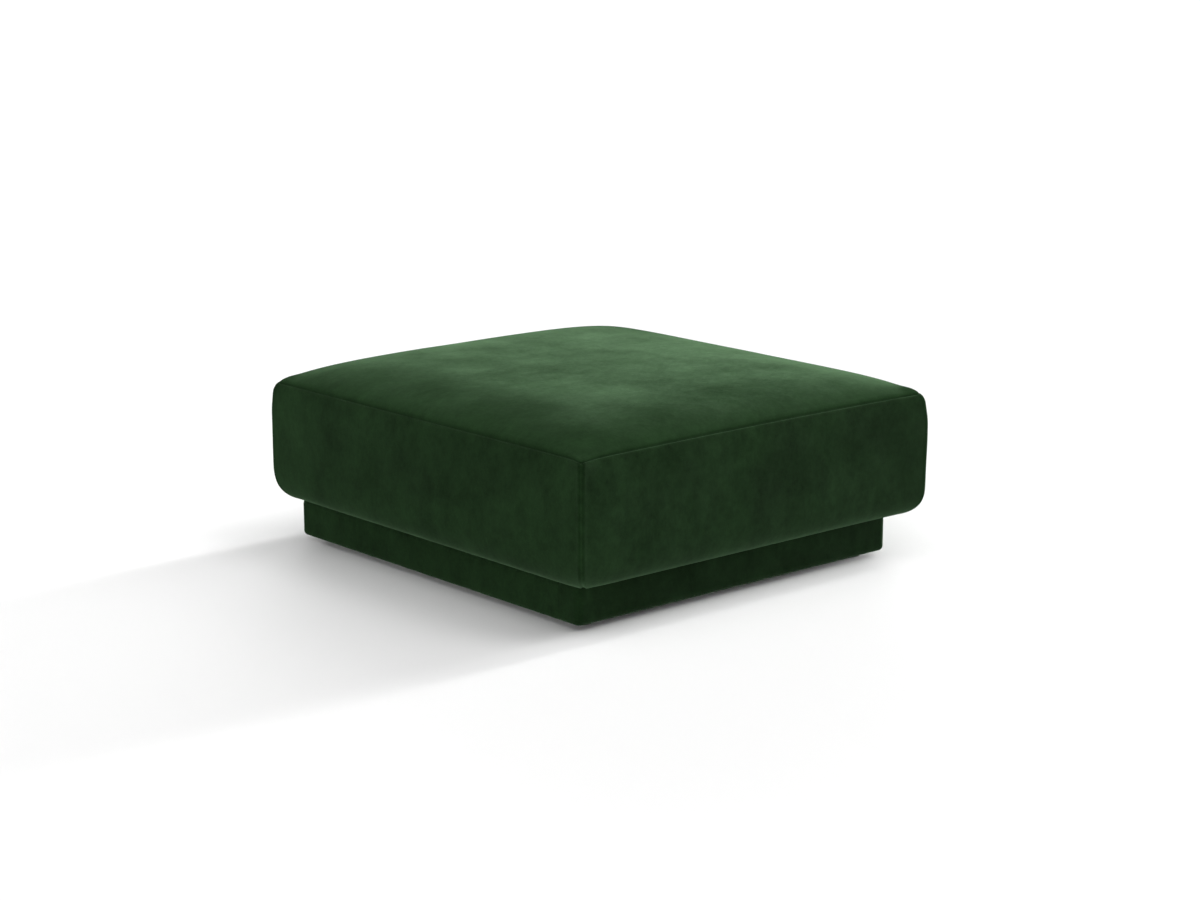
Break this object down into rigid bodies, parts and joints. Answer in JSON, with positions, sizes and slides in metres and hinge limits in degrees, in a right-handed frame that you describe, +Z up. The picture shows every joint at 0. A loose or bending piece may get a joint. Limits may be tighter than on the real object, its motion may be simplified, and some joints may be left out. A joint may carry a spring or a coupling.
{
  "type": "low square upholstered pouf stool",
  "caption": "Low, wide, nearly square velvet pouf with a thick crowned seat on a recessed upholstered plinth, standing on small round feet.",
  "frame": {"origin": "on the floor under the middle of the seat's outline", "axes": "+Z up, +Y towards the back along the seat's longer side, +X to the right along its shorter side; the front is -Y"},
  "size_m": [1, 1.066, 0.4175],
  "materials": {
    "seat_velvet": "dark green short-pile velvet with a soft sheen",
    "plinth_velvet": "dark green short-pile velvet, pulled tight",
    "black_plastic": "matt black moulded plastic"
  },
  "bodies": {
    "root": {"seat_cushion": "seat_velvet", "plinth": "plinth_velvet", "foot_front_left": "black_plastic", "foot_front_right": "black_plastic", "foot_back_left": "black_plastic", "foot_back_right": "black_plastic"}
  },
  "joints": []
}
